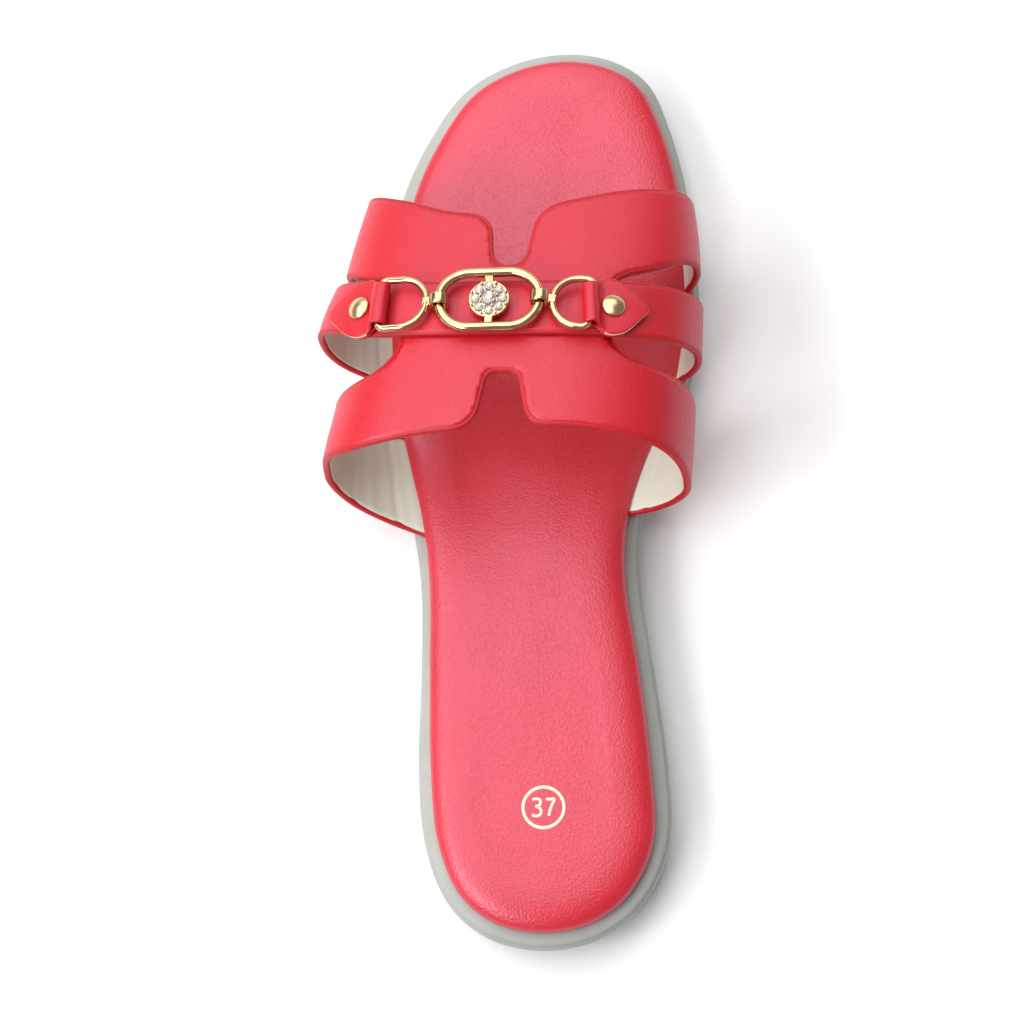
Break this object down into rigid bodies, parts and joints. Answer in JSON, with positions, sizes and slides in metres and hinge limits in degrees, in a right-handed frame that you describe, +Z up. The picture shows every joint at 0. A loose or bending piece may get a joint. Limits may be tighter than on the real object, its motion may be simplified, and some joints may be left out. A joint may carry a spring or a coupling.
{
  "type": "slide sandal",
  "caption": "Left slide sandal: padded footbed on a low rubber sole, slotted leather vamp joined to a cross strap with a metal link chain and a stone rosette.",
  "frame": {"origin": "On the floor under the middle of the shoe's box", "axes": "+Y to the toe, +X to the medial side, which is the wearer's right on this left shoe, +Z up"},
  "size_m": [0.104, 0.254, 0.0674],
  "materials": {
    "sole_rubber": "matt light grey moulded rubber",
    "footbed_leather": "soft red grained leather over foam",
    "strap_leather": "red grained leather with turned edges",
    "lining": "off-white smooth lining",
    "pale_gold": "polished pale gold plating",
    "crystal": "clear cut stones"
  },
  "bodies": {
    "root": {"outsole": "sole_rubber", "footbed": "footbed_leather", "upper": "strap_leather", "tab_lateral": "strap_leather", "tab_medial": "strap_leather", "rivet_lateral": "pale_gold", "rivet_medial": "pale_gold", "ring_lateral": "pale_gold", "ring_medial": "pale_gold", "oval_link": "pale_gold", "stone_centre": "crystal", "stone_petal_1": "crystal", "stone_petal_2": "crystal", "stone_petal_3": "crystal", "stone_petal_4": "crystal", "stone_petal_5": "crystal", "stone_petal_6": "crystal", "stone_petal_7": "crystal", "stone_petal_8": "crystal"}
  },
  "joints": []
}
